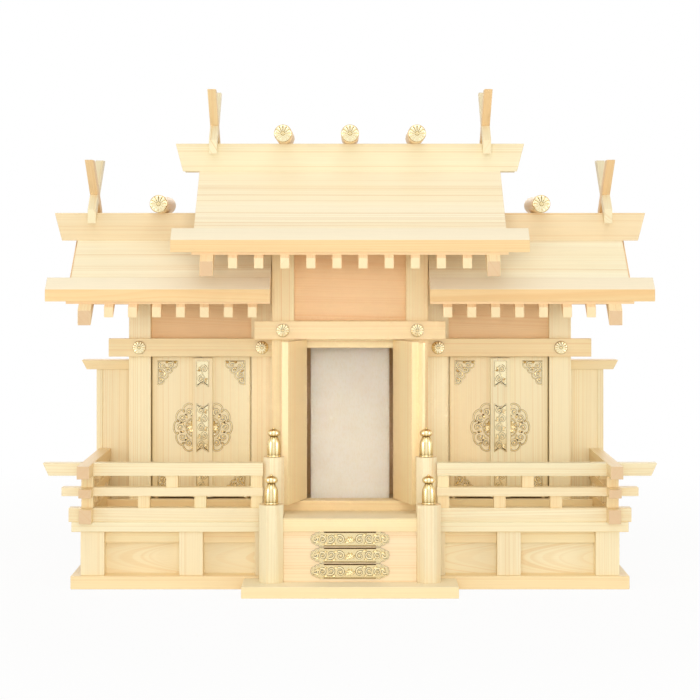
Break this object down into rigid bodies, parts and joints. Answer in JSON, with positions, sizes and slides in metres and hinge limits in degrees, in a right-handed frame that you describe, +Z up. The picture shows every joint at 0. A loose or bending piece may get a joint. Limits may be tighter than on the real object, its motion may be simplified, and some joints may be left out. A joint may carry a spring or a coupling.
{
  "type": "three-bay kamidana household shrine with stepped roofs",
  "caption": "Household shrine shelf model with three bays under stepped gable roofs, hinged doors, railing, stair and gilt fittings.",
  "frame": {"origin": "middle of the footprint, on the surface that the shrine stands on", "axes": "+X to the right seen from the front, +Y to the back, +Z up; the doors face -Y"},
  "size_m": [0.5044, 0.224, 0.4087],
  "materials": {
    "cypress": "planed and unfinished",
    "gilt_brass": "gold-plated, polished",
    "paper": "plain uncoated paper"
  },
  "bodies": {
    "shrine": {"back_end_rafters": "cypress", "back_leaning_horns": "cypress", "back_roof_boards": "cypress", "back_soffits": "cypress", "back_walls": "cypress", "base_panels": "cypress", "base_posts": "cypress", "base_rails": "cypress", "beam_rosettes": "gilt_brass", "billet_rosettes": "gilt_brass", "deck_board": "cypress", "door_headers": "cypress", "door_jambs": "cypress", "eave_boards": "cypress", "fence_posts": "cypress", "front_end_rafters": "cypress", "front_leaning_horns": "cypress", "front_rails": "cypress", "front_roof_boards": "cypress", "front_soffits": "cypress", "lintels": "cypress", "middle_pillars": "cypress", "newel_finials": "gilt_brass", "newel_posts": "cypress", "plinth_end_bars": "cypress", "plinth_long_bars": "cypress", "ridge_beams": "cypress", "ridge_billets": "cypress", "side_pillars": "cypress", "side_rails": "cypress", "side_walls": "cypress", "sill_beams": "cypress", "small_rafters": "cypress", "stair_base_board": "cypress", "stair_block": "cypress", "stair_plates": "gilt_brass", "stair_top_board": "cypress", "talisman": "paper", "thresholds": "cypress", "tie_beams": "cypress", "upper_walls": "cypress", "wing_caps": "cypress", "wing_panels": "cypress", "wing_posts": "cypress"},
    "middle_bay_left_door": {"middle_bay_left_leaf": "cypress"},
    "middle_bay_right_door": {"middle_bay_right_leaf": "cypress", "middle_bay_meeting_strip": "cypress"},
    "left_bay_left_door": {"left_bay_left_leaf": "cypress"},
    "left_bay_right_door": {"left_bay_right_leaf": "cypress", "left_bay_meeting_strip": "cypress"},
    "right_bay_left_door": {"right_bay_left_leaf": "cypress"},
    "right_bay_right_door": {"right_bay_right_leaf": "cypress", "right_bay_meeting_strip": "cypress"}
  },
  "joints": [
    {"name": "middle_bay_left_hinge", "type": "hinge", "parent": "shrine", "child": "middle_bay_left_door", "pos_m": [-0.04, 0.002, 0.1], "axis": [0, 0, 1], "range_deg": [0, 110]},
    {"name": "middle_bay_right_hinge", "type": "hinge", "parent": "shrine", "child": "middle_bay_right_door", "pos_m": [0.04, 0.002, 0.1], "axis": [0, 0, 1], "range_deg": [-110, 0]},
    {"name": "left_bay_left_hinge", "type": "hinge", "parent": "shrine", "child": "left_bay_left_door", "pos_m": [-0.1653, 0.02595, 0.1], "axis": [0, 0, 1], "range_deg": [-90, 0]},
    {"name": "left_bay_right_hinge", "type": "hinge", "parent": "shrine", "child": "left_bay_right_door", "pos_m": [-0.0885, 0.02595, 0.1], "axis": [0, 0, 1], "range_deg": [0, 90]},
    {"name": "right_bay_left_hinge", "type": "hinge", "parent": "shrine", "child": "right_bay_left_door", "pos_m": [0.0885, 0.02595, 0.1], "axis": [0, 0, 1], "range_deg": [-90, 0]},
    {"name": "right_bay_right_hinge", "type": "hinge", "parent": "shrine", "child": "right_bay_right_door", "pos_m": [0.1653, 0.02595, 0.1], "axis": [0, 0, 1], "range_deg": [0, 90]}
  ],
  "couplings": [
    {"joint": "middle_bay_left_hinge", "follows": "middle_bay_right_hinge", "ratio": -1},
    {"joint": "left_bay_left_hinge", "follows": "left_bay_right_hinge", "ratio": -1},
    {"joint": "right_bay_left_hinge", "follows": "right_bay_right_hinge", "ratio": -1}
  ]
}
